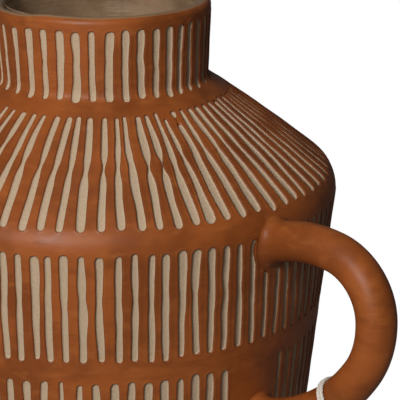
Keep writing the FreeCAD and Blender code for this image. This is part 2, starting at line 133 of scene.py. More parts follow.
def string_route():
    """The loop as points: a helix of round turns, both its ends led down to the knot.

    Place on the arm = pitch x turns - lean x sine of the turn; the turns hang by the slack.
    """
    sweep = np.linspace(STRING_LEAVE, 2 * math.pi * STRING_TURNS - STRING_LEAVE,
                        8 * STRING_TURNS + 1)[:, None]
    shift = STRING_PITCH * (sweep / (2 * math.pi) - STRING_TURNS / 2) - STRING_LEAN * np.sin(sweep)
    turns = (ARM_PLACE + ARM_WAY * shift + np.array([0, LOOP_RADIUS, 0]) * np.sin(sweep)
             + ARM_UNDER * (STRING_SLACK + LOOP_RADIUS * np.cos(sweep)))
    ends = []
    for place in (turns[0], turns[-1]):
        towards = (place - KNOT_PLACE) / np.linalg.norm(place - KNOT_PLACE)
        ends.append(KNOT_PLACE + towards * KNOT_RADIUS)
    return np.vstack([ends[0], turns, ends[1]])


def spline_points(name, route, cyclic=False):
    """Points read from a NURBS spline through the route, in millimetres."""
    curve = bpy.data.curves.new(name, "CURVE")
    curve.dimensions = "3D"
    curve.resolution_u = 12
    spline = curve.splines.new("NURBS")
    spline.points.add(len(route) - 1)
    spline.points.foreach_set("co", np.hstack([route * MM, np.ones((len(route), 1))]).ravel())
    spline.use_cyclic_u = cyclic
    spline.order_u = 3
    spline.use_endpoint_u = not cyclic
    holder = bpy.data.objects.new(name, curve)
    bpy.context.collection.objects.link(holder)
    line = bpy.data.meshes.new_from_object(holder.evaluated_get(
        bpy.context.evaluated_depsgraph_get()))
    points = np.empty(len(line.vertices) * 3)
    line.vertices.foreach_get("co", points)
    bpy.data.objects.remove(holder)
    bpy.data.meshes.remove(line)
    return points.reshape(-1, 3) / MM


def twisted_tube(path, radius, closed=False, columns=18):
    """A twisted cord along a path: a circle whose radius swells in round plies.

    The section turns once every PLY_LAY millimetres. Across and over are the two directions
    square to the path, carried along without twisting by projecting the last one. Returns
    the points (rows, columns, 3) and a uv array: once round the strand, and lays along it.
    """
    if closed:
        way = np.roll(path, -1, 0) - np.roll(path, 1, 0)
    else:
        way = np.gradient(path, axis=0)
    way /= np.linalg.norm(way, axis=1)[:, None]
    across = np.empty_like(path)
    side = np.cross(way[0], [0.3, 0.2, 0.93])
    for i, forward in enumerate(way):
        side = side - forward * side.dot(forward)
        side /= np.linalg.norm(side)
        across[i] = side
    over = np.cross(way, across)
    steps = np.linalg.norm(np.diff(path, axis=0), axis=1)
    along = np.concatenate([[0], np.cumsum(steps)])
    angle = np.linspace(0, 2 * math.pi, columns, endpoint=False)[None, :]
    turn = 2 * math.pi * along[:, None] / PLY_LAY
    swell = 1 + PLY_SWELL * (np.abs(np.cos(PLIES / 2 * (angle - turn))) - 0.6)
    size = np.broadcast_to(radius, along.shape)[:, None] * swell
    points = (path[:, None] + size[..., None] * (np.cos(angle)[..., None] * across[:, None]
                                                 + np.sin(angle)[..., None] * over[:, None]))
    uv = np.stack([np.broadcast_to(angle / (2 * math.pi), size.shape),
                   np.broadcast_to(along[:, None] / PLY_LAY, size.shape)], -1)
    return points, uv


class Wire:
    """A socket of a material's node tree that takes part in arithmetic as a number does."""

    def __init__(self, tree, socket):
        self.tree, self.socket = tree, socket

    def maths(self, operation, *values):
        """A Math node's output."""
        return Shader(self.tree).node("ShaderNodeMath", {"operation": operation}, *values)

    def __add__(self, other):
        return self.maths("ADD", self, other)

    def __sub__(self, other):
        return self.maths("SUBTRACT", self, other)

    def __mul__(self, other):
        return self.maths("MULTIPLY", self, other)

    def __rsub__(self, other):
        return self.maths("SUBTRACT", other, self)

    __radd__, __rmul__ = __add__, __mul__


class Shader:
    """Adds nodes to a material's tree, each by its type, its settings and its inputs."""

    def __init__(self, tree):
        self.tree = tree

    def node(self, kind, settings=None, *values, out=0, **named):
        """A node whose settings are set first. values go to its sockets in order, and
        named ones by name. Returns its output as a Wire."""
        node = self.tree.nodes.new(kind)
        for key, value in (settings or {}).items():
            setattr(node, key, value)
        pairs = list(zip(node.inputs, values))
        pairs += [(node.inputs[key.replace("_", " ")], value) for key, value in named.items()]
        for socket, value in pairs:
            if isinstance(value, Wire):
                self.tree.links.new(value.socket, socket)
            elif value is not None:
                socket.default_value = value
        return Wire(self.tree, node.outputs[out])

    def own_place(self):
        """The place on the piece, in metres."""
        return self.node("ShaderNodeTexCoord", out=3)

    def attribute(self, name):
        """A number that the mesh carries at every point."""
        return self.node("ShaderNodeAttribute", {"attribute_name": name}, out=2)

    def noise(self, place, scale, detail=3, rough=0.5, stretch=None):
        """Smooth noise from 0 to 1, `scale` lumps to the metre."""
        if stretch:
            place = self.node("ShaderNodeVectorMath", {"operation": "MULTIPLY"}, place, stretch)
        return self.node("ShaderNodeTexNoise", {}, Vector=place, Scale=scale, Detail=detail,
                         Roughness=rough)

    def ramp(self, value, low, high, start=0.0, stop=1.0):
        """A soft step from start to stop as the value goes from low to high."""
        return self.node("ShaderNodeMapRange", {"interpolation_type": "SMOOTHSTEP"}, value,
                         low, high, start, stop)

    def blend(self, amount, first, second):
        """Two colours mixed by the amount. The node's colour sockets are 6, 7 and 2."""
        node = self.tree.nodes.new("ShaderNodeMix")
        node.data_type = "RGBA"
        for socket, value in ((node.inputs[0], amount), (node.inputs[6], first),
                              (node.inputs[7], second)):
            if isinstance(value, Wire):
                self.tree.links.new(value.socket, socket)
            else:
                socket.default_value = value
        return Wire(self.tree, node.outputs[2])


def new_material(name):
    """A material with one Principled shader. Returns it, its Shader and the shader's sockets."""
    material = bpy.data.materials.new(name)
    material.use_nodes = True
    sockets = material.node_tree.nodes["Principled BSDF"].inputs
    return material, Shader(material.node_tree), sockets


def feed(shader, socket, wire):
    """Link a wire to one of the shader's own sockets."""
    shader.tree.links.new(wire.socket, socket)


def bumped(shader, sockets, height, distance):
    """Feed the shader's Normal from a height of 0 to 1, which stands for `distance` metres."""
    feed(shader, sockets["Normal"], shader.node("ShaderNodeBump", {}, Distance=distance,
                                                Height=height))


# The furrows between the plies lie deeper and carry painted shade, with fine fibres over all.
COTTON_LIGHT, COTTON_SHADE = (0.78, 0.72, 0.64, 1), (0.50, 0.42, 0.33, 1)
cotton, shader, sockets = new_material("cotton")
along = shader.node("ShaderNodeUVMap", {"uv_map": "along"})
turn = shader.node("ShaderNodeSeparateXYZ", {}, along)
length = shader.node("ShaderNodeSeparateXYZ", {}, along, out=1)
ply = (turn - length) * (PLIES * 2 * math.pi)
furrow = shader.ramp(ply.maths("COSINE", ply), -1.0, -0.2, 1.0, 0.0)
fibre = shader.noise(shader.own_place(), 3500, 4, 0.7)
# Painted shade: the cotton darkens in the furrows between the plies, and at random with the
# fibres.
feed(shader, sockets["Base Color"],
     shader.blend(furrow * 0.6 + fibre * 0.35, COTTON_LIGHT, COTTON_SHADE))
sockets["Roughness"].default_value = 0.95
bumped(shader, sockets, fibre - furrow * 0.5, 0.0002)

string_path = spline_points("string_route", string_route())
points, uv = twisted_tube(string_path, STRING_DIAMETER / 2)
string_mesh = grid_mesh("cotton_string", points, False, uv=uv)
string_mesh.materials.append(cotton)
cotton_string = link_piece("cotton_string", string_mesh, ["string"])

# Knot of the string: an overhand knot pulled tight, with two cut tails that hang down.
# Its strand is the same twisted cotton.
TAIL_LENGTH, TAIL_SPREAD, TAIL_DROOP = 9, math.radians(24), 0.8
KNOT_SIZE, KNOT_DEPTH, KNOT_STRAND, TAIL_STRAND = 0.62, 1.4, 0.78, 0.8
TIP_STRAND, CUT_STRAND = 0.02, 0.6  # radii at a tail's tips, and just before its cut end


def knot_route():
    """A trefoil: x = sin t + 2 sin 2t, y = cos t - 2 cos 2t, z = -depth sin 3t, times size."""
    t = np.linspace(0, 2 * math.pi, 48, endpoint=False)
    return KNOT_SIZE * np.stack([np.sin(t) + 2 * np.sin(2 * t),
                                 np.cos(t) - 2 * np.cos(2 * t), -KNOT_DEPTH * np.sin(3 * t)], 1)


def joined_mesh(name, parts):
    """One mesh from several, with their uv and faces kept."""
    objects = [bpy.data.objects.new(name, part) for part in parts]
    for thing in objects:
        bpy.context.collection.objects.link(thing)
    with bpy.context.temp_override(active_object=objects[0], object=objects[0],
                                   selected_objects=objects,
                                   selected_editable_objects=objects):
        bpy.ops.object.join()
    mesh = objects[0].data
    bpy.data.objects.remove(objects[0])
    return mesh


bight_path = spline_points("knot_route", KNOT_PLACE + knot_route(), True)
points, uv = twisted_tube(bight_path, KNOT_STRAND, closed=True)
knot_parts = [grid_mesh("knot_bight", points, True, uv=uv)]
for side in (-1, 1):
    tail_way = np.array([0, side * math.sin(TAIL_SPREAD), -math.cos(TAIL_SPREAD)])
    reach = np.linspace(0, 1, 7)[:, None]
    droop = np.array([0, -side * TAIL_DROOP, 0]) * reach ** 2
    path = spline_points("tail_route", KNOT_PLACE + tail_way * reach * (KNOT_RADIUS + TAIL_LENGTH)
                         + droop)
    size = TAIL_STRAND * np.ones(len(path))
    size[0], size[-2], size[-1] = TIP_STRAND, CUT_STRAND, TIP_STRAND
    points, uv = twisted_tube(path, size)
    knot_parts.append(grid_mesh("knot_tail", points, False, uv=uv))
knot_mesh = joined_mesh("string_ends", knot_parts)
knot_mesh.materials.append(cotton)
string_ends = link_piece("string_ends", knot_mesh, ["string_knot"])

# Collar: the thrown neck with its rounded lip, dipped in terracotta slip, with a row of
# upright strokes cut through to the pale clay. It is luted to the shoulder at its root.
SHOULDER_RADIUS, SHOULDER_HEIGHT, SHOULDER_ROUND, EDGE_REACH = 115, 185.8, 16, 9.24
SLOPE, TAPER, LEAN = math.radians(36.7), math.radians(6.67), math.radians(2.23)
NECK_RADIUS, NECK_LENGTH, LIP_ROUND, ROOT_ROUND = 50.9, 37.7, 3.1, 5.0
NECK_ROOT = SHOULDER_HEIGHT + (SHOULDER_RADIUS - NECK_RADIUS) * math.tan(SLOPE)
COAT_BACK = 1.38
CAMERA_SIDE = -43  # degrees round the axis, from the handle to the camera


def arc(centre, radius, start, stop):
    """Points of an arc between two angles in degrees, about one every degree."""
    angle = np.radians(np.linspace(start, stop, int(abs(stop - start)) + 2))
    return np.array(centre) + radius * np.stack([np.cos(angle), np.sin(angle)], 1)


def outline():
    """The jar's outside as (radius, height) every 0.1 mm from the table up and over the lip.

    Straight lines joined by tangent arcs: the body's taper, the rounded shoulder edge, the
    shoulder cone, a hollow fillet at the neck's root, the neck and the round of the lip.
    """
    edge = np.array([SHOULDER_RADIUS, SHOULDER_HEIGHT])
    edge_turn = math.pi / 2 - SLOPE + TAPER
    edge_way = (math.pi / 2 - TAPER - SLOPE) / 2
    edge_centre = edge - SHOULDER_ROUND / math.cos(edge_turn / 2) * np.array(
        [math.cos(edge_way), math.sin(edge_way)])
    cone_out = np.array([math.sin(SLOPE), math.cos(SLOPE)])
    neck_out = np.array([math.cos(LEAN), -math.sin(LEAN)])
    neck_up = np.array([math.sin(LEAN), math.cos(LEAN)])
    root = np.array([NECK_RADIUS, NECK_ROOT])
    root_centre = root + ROOT_ROUND * (cone_out + neck_out) / (1 + cone_out.dot(neck_out))
    lip_centre = root + neck_up * (NECK_LENGTH - LIP_ROUND) - neck_out * LIP_ROUND
    slope, taper, lean = (math.degrees(a) for a in (SLOPE, TAPER, LEAN))
    line = np.vstack([
        [[SHOULDER_RADIUS - SHOULDER_HEIGHT * math.tan(TAPER), 0]],
        arc(edge_centre, SHOULDER_ROUND, -taper, 90 - slope),
        arc(root_centre, ROOT_ROUND, 270 - slope, 180 - lean),
        arc(lip_centre, LIP_ROUND, -lean, 180 - lean),
        [lip_centre - neck_out * LIP_ROUND - neck_up * (NECK_LENGTH - LIP_ROUND)],
    ])
    travel = np.concatenate([[0], np.cumsum(np.linalg.norm(np.diff(line, axis=0), axis=1))])
    even = np.arange(0, travel[-1], 0.1)
    return even, np.stack([np.interp(even, travel, line[:, i]) for i in (0, 1)], 1)


ALONG, LINE = outline()
LINE_WAY = np.gradient(LINE, axis=0)
LINE_WAY /= np.linalg.norm(LINE_WAY, axis=1)[:, None]
LIP_TOP = int(np.argmax(LINE[:, 1]))


def at_height(height):
    """How far along the outline the outside reaches a height, in millimetres."""
    return np.interp(height, LINE[:LIP_TOP, 1], ALONG[:LIP_TOP])


def at_radius(along):
    """The outside's radius at a place along the outline."""
    return np.interp(along, ALONG, LINE[:, 0])


EDGE_END = at_height(SHOULDER_HEIGHT + EDGE_REACH * math.sin(SLOPE))
ROOT_START = at_height(NECK_ROOT - 3)
CONE_FULLNESS, RIM_TILT = 0.7, 0.35
RIM_DIP, DIP_WIDTH, DIP_DEPTH, DIP_FLARE = math.radians(CAMERA_SIDE - 63), 0.09, 1.7, 1.2


def skin(angle, along, inset=0.0):
    """Points of the hand-thrown outside, `inset` millimetres under it.

    The outline is turned about the axis. It swells a little in slow waves round the jar and
    in faint throwing lines up the wall, and the shoulder cone is slightly full. The rim
    is a little tilted, and dips and flares at one place.
    """
    radius, height, way_out, way_up = (
        np.interp(along, ALONG, column)
        for column in (LINE[:, 0], LINE[:, 1], LINE_WAY[:, 0], LINE_WAY[:, 1]))
    swell = (0.30 + 0.12 * np.sin(2 * angle + 0.4) + 0.09 * np.sin(3 * angle + along / 60)
             + 0.07 * np.sin(5 * angle + 2 + along / 23)
             + 0.05 * np.sin(along / 3.1 + 1.5 * np.sin(angle + 1)))
    part = np.clip((along - EDGE_END) / (ROOT_START - EDGE_END), 0, 1)
    swell = swell + CONE_FULLNESS * np.sin(math.pi * part) ** 0.8
    shift = swell - inset
    rise = np.clip((height - NECK_ROOT) / NECK_LENGTH, 0, 1) ** 2
    dip = np.exp(-((np.cos(angle - RIM_DIP) - 1) / DIP_WIDTH) ** 2) * rise
    lift = RIM_TILT * np.sin(angle - 1.0) * rise - DIP_DEPTH * dip
    radius = radius + way_up * shift + DIP_FLARE * dip
    height = height - way_out * shift + lift
    return np.stack([radius * np.cos(angle), radius * np.sin(angle),
                     np.broadcast_to(height, radius.shape)], -1)


# A stroke's columns, in half widths from its middle, and millimetres from its nearer edge.
ACROSS = np.array([-1.5, -1, -1, -1, -1, -0.5, 0, 0.5, 1, 1, 1, 1, 1.5])
FROM_EDGE = np.array([0, -0.35, 0, 0.18, 0.38, 0.1, 0, -0.1, -0.38, -0.18, 0, 0.35, 0])
# A band's rows beside a stroke's foot, in millimetres, and on the plain slip past it.
END_STEPS = np.array([-1.2, -0.6, -0.25, 0.0, 0.25, 0.6, 1.0, 1.5, 2.2, 3.2])
PLAIN_PARTS, BORDER_STEP, BORDER_MARGIN = (0.33, 0.67), 0.1, 0.6
KINK_SPREAD, WAIST_SPREAD, TAPER_REACH, GAP_PINCH = 0.14, 0.075, 2.2, 0.6
LEAST_HALF, LEAST_RIDGE, ROOT_OVAL = 0.15, 0.7, 0.93
CUT_START, CUT_SLOPE, FLOOR_HOLLOW, NO_CUT = 0.05, 0.42, 0.2, -3.0
BURR_HEIGHT, BURR_OFFSET, BURR_WIDTH = 0.15, 0.35, 0.32


def soft_step(value):
    """3v2 - 2v3 of a value held between 0 and 1."""
    value = np.clip(value, 0, 1)
    return value * value * (3 - 2 * value)


def waver(rng, held, size):
    """A slow random drift along each stroke: three sines of random phase and strength."""
    count = held.shape[1]
    drift = 0
    for waves in (0.6, 1.3, 2.7):
        phase = rng.uniform(0, 2 * math.pi, count)[:, None]
        strength = rng.normal(0, 1, count)[:, None] / waves ** 0.7
        drift = drift + strength * np.sin(2 * math.pi * waves * held + phase)
    return size * drift


def band_rows(middle_rows):
    """The rows of a band's grid, from its lower border to its upper one.

    A row's place is a mix of four places (the lower border, the stroke's foot, its top and
    the upper border) and a step in millimetres. Rows gather at both ends of the strokes.
    """
    first, last = END_STEPS[0], END_STEPS[-1]
    rows = [(1, 0, 0, 0, 0), (1, 0, 0, 0, BORDER_STEP)]
    rows += [(1 - part, part, 0, 0, first * part) for part in PLAIN_PARTS]
    rows += [(0, 1, 0, 0, step) for step in END_STEPS]
    rows += [(0, 1 - part, part, 0, last * (1 - 2 * part))
             for part in np.linspace(0, 1, middle_rows)[1:-1]]
    rows += [(0, 0, 1, 0, -step) for step in END_STEPS[::-1]]
    rows += [(0, 0, 1 - part, part, -first * (1 - part)) for part in PLAIN_PARTS]
    rows += [(0, 0, 0, 1, -BORDER_STEP), (0, 0, 0, 1, 0)]
    return np.array(rows)


def own_and_shared(values):
    """Each stroke's value on its own columns, and the neighbours' mean between them."""
    shared = (values + np.roll(values, 1)) / 2
    return np.concatenate([shared[:, None], np.repeat(values[:, None], len(ACROSS), 1)], 1)


def stroke_course(rng, row, along, radius):
    """Each stroke's middle line, as angles, and half its width, over the whole grid.

    The middle line goes evenly from the foot's angle to the top's. It drifts, bows, and
    steps sideways where two pulls of the tool met. The width goes evenly from foot to top,
    with a waver, a waist where the pulls met, a taper at both ends and a pinch at a gap.
    """
    own_foot, own_top = row["foot"][:, None], row["top"][:, None]
    held = np.clip((along - own_foot) / (own_top - own_foot), 0, 1)
    drift = waver(rng, held, row["waver"])
    spread = waver(rng, held, row["spread"])
    bow = row["bow"][:, None] * np.sin(math.pi * held)
    from_waist = held - row["waist_at"][:, None]
    kink = row["kink"][:, None] * soft_step(from_waist / KINK_SPREAD + 0.5)
    turn = row["foot_angle"][:, None] + (row["top_angle"] - row["foot_angle"])[:, None] * held
    middle_angle = turn + (drift + bow + kink) / radius
    half = (row["foot_width"][:, None] * (1 - held) + row["top_width"][:, None] * held) / 2
    waist = row["waist"][:, None] * np.exp(-(from_waist / WAIST_SPREAD) ** 2)
    half = half * (1 + spread) * (1 - waist)
    from_end = np.minimum(held, 1 - held) * (own_top - own_foot)
    half = half * (1 - row["taper"] * np.exp(-from_end / TAPER_REACH))
    for stroke, gap_at, gap_half in row["gaps"]:
        from_gap = (along[:, stroke] - gap_at) / (2 * gap_half)
        half[:, stroke] *= 1 - GAP_PINCH * np.exp(-from_gap ** 2)
    return middle_angle, half


def cell_columns(middle_angle, half, radius):
    """The grid's angles, and the half widths held so that a ridge of slip is left.

    Each stroke's columns keep their distance from its middle line or its edges, and the
    first lies halfway to the stroke before it.
    """
    before = np.roll(middle_angle[..., 0], 1, 1)
    before[:, 0] -= 2 * math.pi
    border = (middle_angle[..., 0] + before) / 2
    after = np.roll(border, -1, 1)
    after[:, -1] += 2 * math.pi
    room = np.minimum(middle_angle[..., 1] - border, after - middle_angle[..., 1])
    widest = np.maximum(room * radius[..., 1] - LEAST_RIDGE, LEAST_HALF + 0.01)
    half = np.clip(half, LEAST_HALF, widest[..., None])
    angle = np.empty_like(half)
    sideways = ACROSS * half[..., 1:] + FROM_EDGE * np.clip(half[..., 1:], 0, 1)
    angle[..., 1:] = middle_angle[..., 1:] + sideways / radius[..., 1:]
    angle[..., 0] = border
    angle[..., 1] = (angle[..., 0] + angle[..., 2]) / 2
    angle[..., -1] = (after + angle[..., -2]) / 2
    return angle, half


def distance_inside(row, angle, along, radius, across, half):
    """Millimetres from each point to its stroke's outline, negative outside the stroke.

    A stroke is a bar with round corners: the distance to a bar smaller by the corner's
    radius, less that radius. Its gaps and the round of a handle's root are left uncut.
    """
    corner = half * row["end_round"]
    side = across - half + corner
    end = np.maximum(row["foot"][:, None] - along, along - row["top"][:, None]) + corner
    outside = (np.hypot(np.maximum(side, 0), np.maximum(end, 0))
               + np.minimum(np.maximum(side, end), 0) - corner)
    inside = -outside
    for stroke, gap_at, gap_half in row["gaps"]:
        beyond_gap = np.abs(along[:, stroke] - gap_at) - gap_half
        inside[:, stroke] = np.minimum(inside[:, stroke], beyond_gap)
    for centre, clear in row["roots"]:
        from_handle = (angle + math.pi) % (2 * math.pi) - math.pi
        beyond_root = np.hypot(from_handle * radius, (along - centre) * ROOT_OVAL) - clear
        inside = np.minimum(inside, beyond_root)
    return inside


def carved_band(rng, low, high, row):
    """The outside of a coat between two places along the outline, with its row of strokes.

    The band is a grid with a cell of columns for each stroke. The cut's depth is a soft
    step of the distance inside the stroke, over a slightly hollow floor, and the tool
    leaves a low burr beside it. Returns the points (rows, columns, 3), their angles and
    places along the outline, and the distance inside.
    """
    row["foot"] = np.maximum(row["foot"], low - END_STEPS[0] + BORDER_MARGIN)
    row["top"] = np.minimum(row["top"], high + END_STEPS[0] - BORDER_MARGIN)
    foot, top = own_and_shared(row["foot"]), own_and_shared(row["top"])
    rows = band_rows(row["middle_rows"])
    along = (rows[:, 0, None, None] * low + rows[:, 1, None, None] * foot
             + rows[:, 2, None, None] * top + rows[:, 3, None, None] * high
             + rows[:, 4, None, None])
    radius = at_radius(along)
    middle_angle, half = stroke_course(rng, row, along, radius)
    angle, half = cell_columns(middle_angle, half, radius)
    across = np.abs(angle - middle_angle) * radius
    inside = distance_inside(row, angle, along, radius, across, half)
    stroke_depth = row["depth"][:, None]
    hollow = FLOOR_HOLLOW * np.clip(1 - (across / half) ** 2, 0, 1)
    depth = (stroke_depth + hollow) * soft_step((inside + CUT_START) / CUT_SLOPE)
    burr = BURR_HEIGHT * np.exp(-((inside + BURR_OFFSET) / BURR_WIDTH) ** 2)
    points = skin(angle, along, np.where(stroke_depth > 0, depth - burr, 0))
    cut = np.where(stroke_depth > 0, inside, NO_CUT)
    shape = (len(rows), -1)
    return (points.reshape(*shape, 3), angle.reshape(shape), along.reshape(shape),
            cut.reshape(shape))


def spaced(count, measured):
    """Angles of a row's strokes, anticlockwise from the measured ones on.

    measured is a list of degrees right of the camera's direction, left to right. The rest
    of the row is evenly spaced over the part of the jar that is left.
    """
    front = np.array(measured, dtype=float)
    left = 360 - (front[-1] - front[0])
    more = count - len(front)
    rest = front[-1] + left * np.arange(1, more + 1) / (more + 1)
    return np.radians(np.concatenate([front, rest]) + CAMERA_SIDE)


def new_row(rng, foot_angle, top_angle, foot, top, width, **more):
    """A row of strokes with the small differences that a hand leaves.

    foot and top are heights, and width holds the widths there, all in millimetres. A gap
    is (stroke, place, half length) and a root (place, clear radius).
    """
    count = len(foot_angle)
    row = dict(
        foot_angle=foot_angle, top_angle=top_angle,
        foot=at_height(foot) + rng.normal(0, 0.45, count),
        top=at_height(top) + rng.normal(0, 0.45, count),
        foot_width=width[0] * (1 + rng.normal(0, 0.07, count)),
        top_width=width[1] * (1 + rng.normal(0, 0.13, count)),
        bow=rng.normal(0, 0.22, count), depth=np.clip(rng.normal(0.88, 0.05, count), 0.75, 0.96),
        waist_at=rng.normal(0.55, 0.05, count), waist=rng.uniform(0, 0.22, count),
        kink=rng.normal(0, 0.12, count), gaps=[], roots=[], taper=0.16, waver=0.15,
        spread=0.06, end_round=1.0, middle_rows=26)
    row.update(more)
    return row


def closed_coat(name, outer, angle, along, cut, hidden, shown=None):
    """Close a band into a ring: its outside, then its hidden side from the top down.

    hidden is a list of (place along the outline, inset) for the rows of the hidden side.
    shown is the number of rows that still belong to the smooth outside.
    """
    rows, travel = [outer], [along]
    for place, inset in hidden:
        part = np.clip((place - along[0]) / (along[-1] - along[0]), 0, 1)
        turned = angle[0] + (angle[-1] - angle[0]) * part
        rows.append(skin(turned, np.full_like(turned, place), inset)[None])
        travel.append(np.full((1, len(turned)), place))
    points = np.concatenate(rows)
    past_lip = np.concatenate(travel) - ALONG[LIP_TOP]
    inside = np.full(points.shape[:2], NO_CUT)
    inside[:len(cut)] = cut
    return grid_mesh(name, points, True, {"cut": inside, "past_lip": past_lip},
                     smooth_rows=shown or len(outer) - 1)


TERRACOTTA, BURNT = (0.30, 0.078, 0.0155, 1), (0.20, 0.050, 0.010, 1)
ORANGE = (0.38, 0.115, 0.023, 1)
PALE_CLAY, SANDY_CLAY = (0.51, 0.39, 0.267, 1), (0.45, 0.32, 0.205, 1)
GREY_CLAY = (0.33, 0.25, 0.18, 1)
# The colour of the painted shade along the edge of every cut.
CUT_EDGE_SHADE = (0.12, 0.028, 0.006, 1)
TAUPE, DARK_TAUPE = (0.28, 0.18, 0.105, 1), (0.17, 0.105, 0.058, 1)
THIN_TAUPE = (0.32, 0.17, 0.08, 1)


def bare_clay(shader, grit, grain):
    """The colour of unglazed clay: pale, sandy where the grit is low, with grey grains."""
    colour = shader.blend(shader.ramp(grit, 0.35, 0.7), SANDY_CLAY, PALE_CLAY)
    return shader.blend(shader.ramp(grain, 0.6, 0.75, 0.0, 0.5), colour, GREY_CLAY)


# The slip drifts between burnt and terracotta, with swirls, brush marks and fine grain. It
# carries painted shade as a dark line along a cut's edge, inside a cut the clay is bare, and
# past the lip the glaze begins.
slip, shader, sockets = new_material("carved_slip")
place = shader.own_place()
inside = shader.attribute("cut")
past_lip = shader.attribute("past_lip")
broad = shader.noise(place, 28, 3, 0.55)
brushed = shader.noise(place, 90, 4, 0.6, stretch=(1, 1, 2.6))
grain = shader.noise(place, 1500, 3, 0.7)
grit = shader.noise(place, 900, 4, 0.8, stretch=(1, 1, 1.8))
ragged = shader.noise(place, 420, 3, 0.6)
swirled = shader.noise(place, 45, 3, 0.6, stretch=(1, 1, 5))
slip_colour = shader.blend(shader.ramp(broad, 0.38, 0.6), BURNT, TERRACOTTA)
slip_colour = shader.blend(shader.ramp(swirled, 0.5, 0.72, 0.0, 0.6), slip_colour, BURNT)
slip_colour = shader.blend(shader.ramp(brushed, 0.5, 0.8, 0.0, 0.55), slip_colour, ORANGE)
slip_colour = shader.blend(shader.ramp(grain, 0.62, 0.8, 0.0, 0.35), slip_colour, BURNT)
bare = shader.ramp(inside + (ragged - 0.5) * 0.16, 0.1, 0.27)
glazed = shader.ramp(past_lip + (brushed - 0.5) * 1.6, -2.4, -1.2)
lip_colour = shader.blend(shader.ramp(broad, 0.3, 0.7), DARK_TAUPE, TAUPE)
lip_colour = shader.blend(shader.ramp(past_lip, -2.2, 0.5), THIN_TAUPE, lip_colour)
slip_colour = shader.blend(glazed, slip_colour, lip_colour)
# Painted shade: the slip darkens to a dark line just outside each cut's edge.
slip_colour = shader.blend(shader.ramp(inside, -0.42, 0.02, 0.0, 0.55), slip_colour, CUT_EDGE_SHADE)
feed(shader, sockets["Base Color"],
     shader.blend(bare, slip_colour, bare_clay(shader, grit, grain)))
satin = shader.ramp(brushed, 0.3, 0.8, 0.38, 0.52) * (1 - glazed) + glazed * 0.28
feed(shader, sockets["Roughness"], satin * (1 - bare) + bare * 0.92)
sockets["Specular IOR Level"].default_value = 0.22
height = (grain * 0.25 + brushed * 0.3) * (1 - bare) + (grit * 1.1 + grain * 0.5) * bare
bumped(shader, sockets, height, 0.00028)

# Every list of strokes in view, here and below, is in degrees right of the camera, left to
# right, as read from the photograph.
NECK_STROKES = [-60.8, -50.6, -40.4, -31.3, -22.7, -13.9, -5.4, 3.5, 11.6, 20.3, 28.6, 36.5,
                44.3, 52.2, 60.3]
NECK_COUNT, NECK_FOOT, NECK_TOP, NECK_WIDTHS = 40, NECK_ROOT - 1.6, 265.4, (3.9, 4.2)
rng = np.random.default_rng(7)
neck_angle = spaced(NECK_COUNT, NECK_STROKES)
neck_row = new_row(rng, neck_angle, neck_angle + rng.normal(0, 0.004, NECK_COUNT), NECK_FOOT,
                   NECK_TOP, NECK_WIDTHS, end_round=0.97, taper=0.08, middle_rows=16)
skirt = at_height(NECK_ROOT - 6 * math.sin(SLOPE))
collar_top = ALONG[LIP_TOP] + math.pi / 2 * LIP_ROUND
lip_start = at_height(NECK_ROOT + NECK_LENGTH - 3.6)
outer, angle, along, cut = carved_band(rng, skirt, lip_start, neck_row)
lip_line = np.linspace(lip_start, collar_top, 26)[1:]
hidden = [(spot, 0) for spot in lip_line]
hidden += [(spot, 0.6) for spot in collar_top + np.array([4.0, 8, 16, 30, 35])]
hidden += [(at_height(NECK_ROOT - 2), COAT_BACK), (skirt, COAT_BACK)]
collar_mesh = closed_coat("collar", outer, angle, along, cut, hidden,
                          len(outer) + len(lip_line) + 3)
collar_mesh.materials.append(slip)
link_piece("collar", collar_mesh, ["neck_coat", "neck"])

# Shoulder coat: the slip on the cone under the neck. Its strokes fan out from the neck and
# grow wider on the way down to the rounded edge.
SHOULDER_TOPS = [-48.8, -43.6, -37.2, -31.6, -26.0, -20.3, -15.4, -10.9, -5.6, 0.0, 4.9,
                 9.3, 14.0, 18.6, 22.9, 26.8, 31.3, 35.8, 40.7, 44.9, 49.9, 54.4, 58.5,
                 63.2, 68.0, 72.6]
SHOULDER_FEET = [-44.5, -40, -34.6, -29.6, -24.5, -19.5, -15, -10.6, -5.9, -1.0, 3.6, 8.3,
                 12.7, 17.0, 21.4, 25.1, 29.6, 34.4, 39.0, 44.0, 48.6, 53, 57.2, 62, 66.6, 71.2]
SHOULDER_COUNT, SHOULDER_WIDTHS, SHOULDER_FOOT = 77, (4.4, 3.0), 183.5
CONE_FOOT = SHOULDER_HEIGHT + 4.3 * math.sin(SLOPE) - 0.6
CONE_TOP = NECK_ROOT - 11.5 * math.sin(SLOPE)
top_angle, foot_angle = (spaced(SHOULDER_COUNT, measured)
                         for measured in (SHOULDER_TOPS, SHOULDER_FEET))
shoulder_row = new_row(
    rng, foot_angle, top_angle, CONE_FOOT, CONE_TOP, SHOULDER_WIDTHS,
    kink=rng.normal(0, 0.3, SHOULDER_COUNT), waist=rng.uniform(0.1, 0.45, SHOULDER_COUNT),
    spread=0.07, waver=0.2, taper=0.22, middle_rows=34)
# Strokes that the photograph shows pinched, stepped, started late or broken.
shoulder_row["waist"][[9, 12, 13]] = 0.62, 0.66, 0.84
shoulder_row["kink"][[9, 12, 13, 16]] = 0.5, 0.5, 0.45, 0.6
shoulder_row["top"][15] -= 4
shoulder_row["gaps"] = [(16, shoulder_row["top"][16] - 6, 1.9)]
shoulder_low = at_height(SHOULDER_FOOT)
outer, angle, along, cut = carved_band(rng, shoulder_low, skirt, shoulder_row)
hidden = [(spot, COAT_BACK) for spot in np.linspace(skirt, shoulder_low, 16)]
shoulder_mesh = closed_coat("shoulder_skin", outer, angle, along, cut, hidden)
shoulder_mesh.materials.append(slip)
link_piece("shoulder_skin", shoulder_mesh, ["shoulder_coat", "edge_coat"])

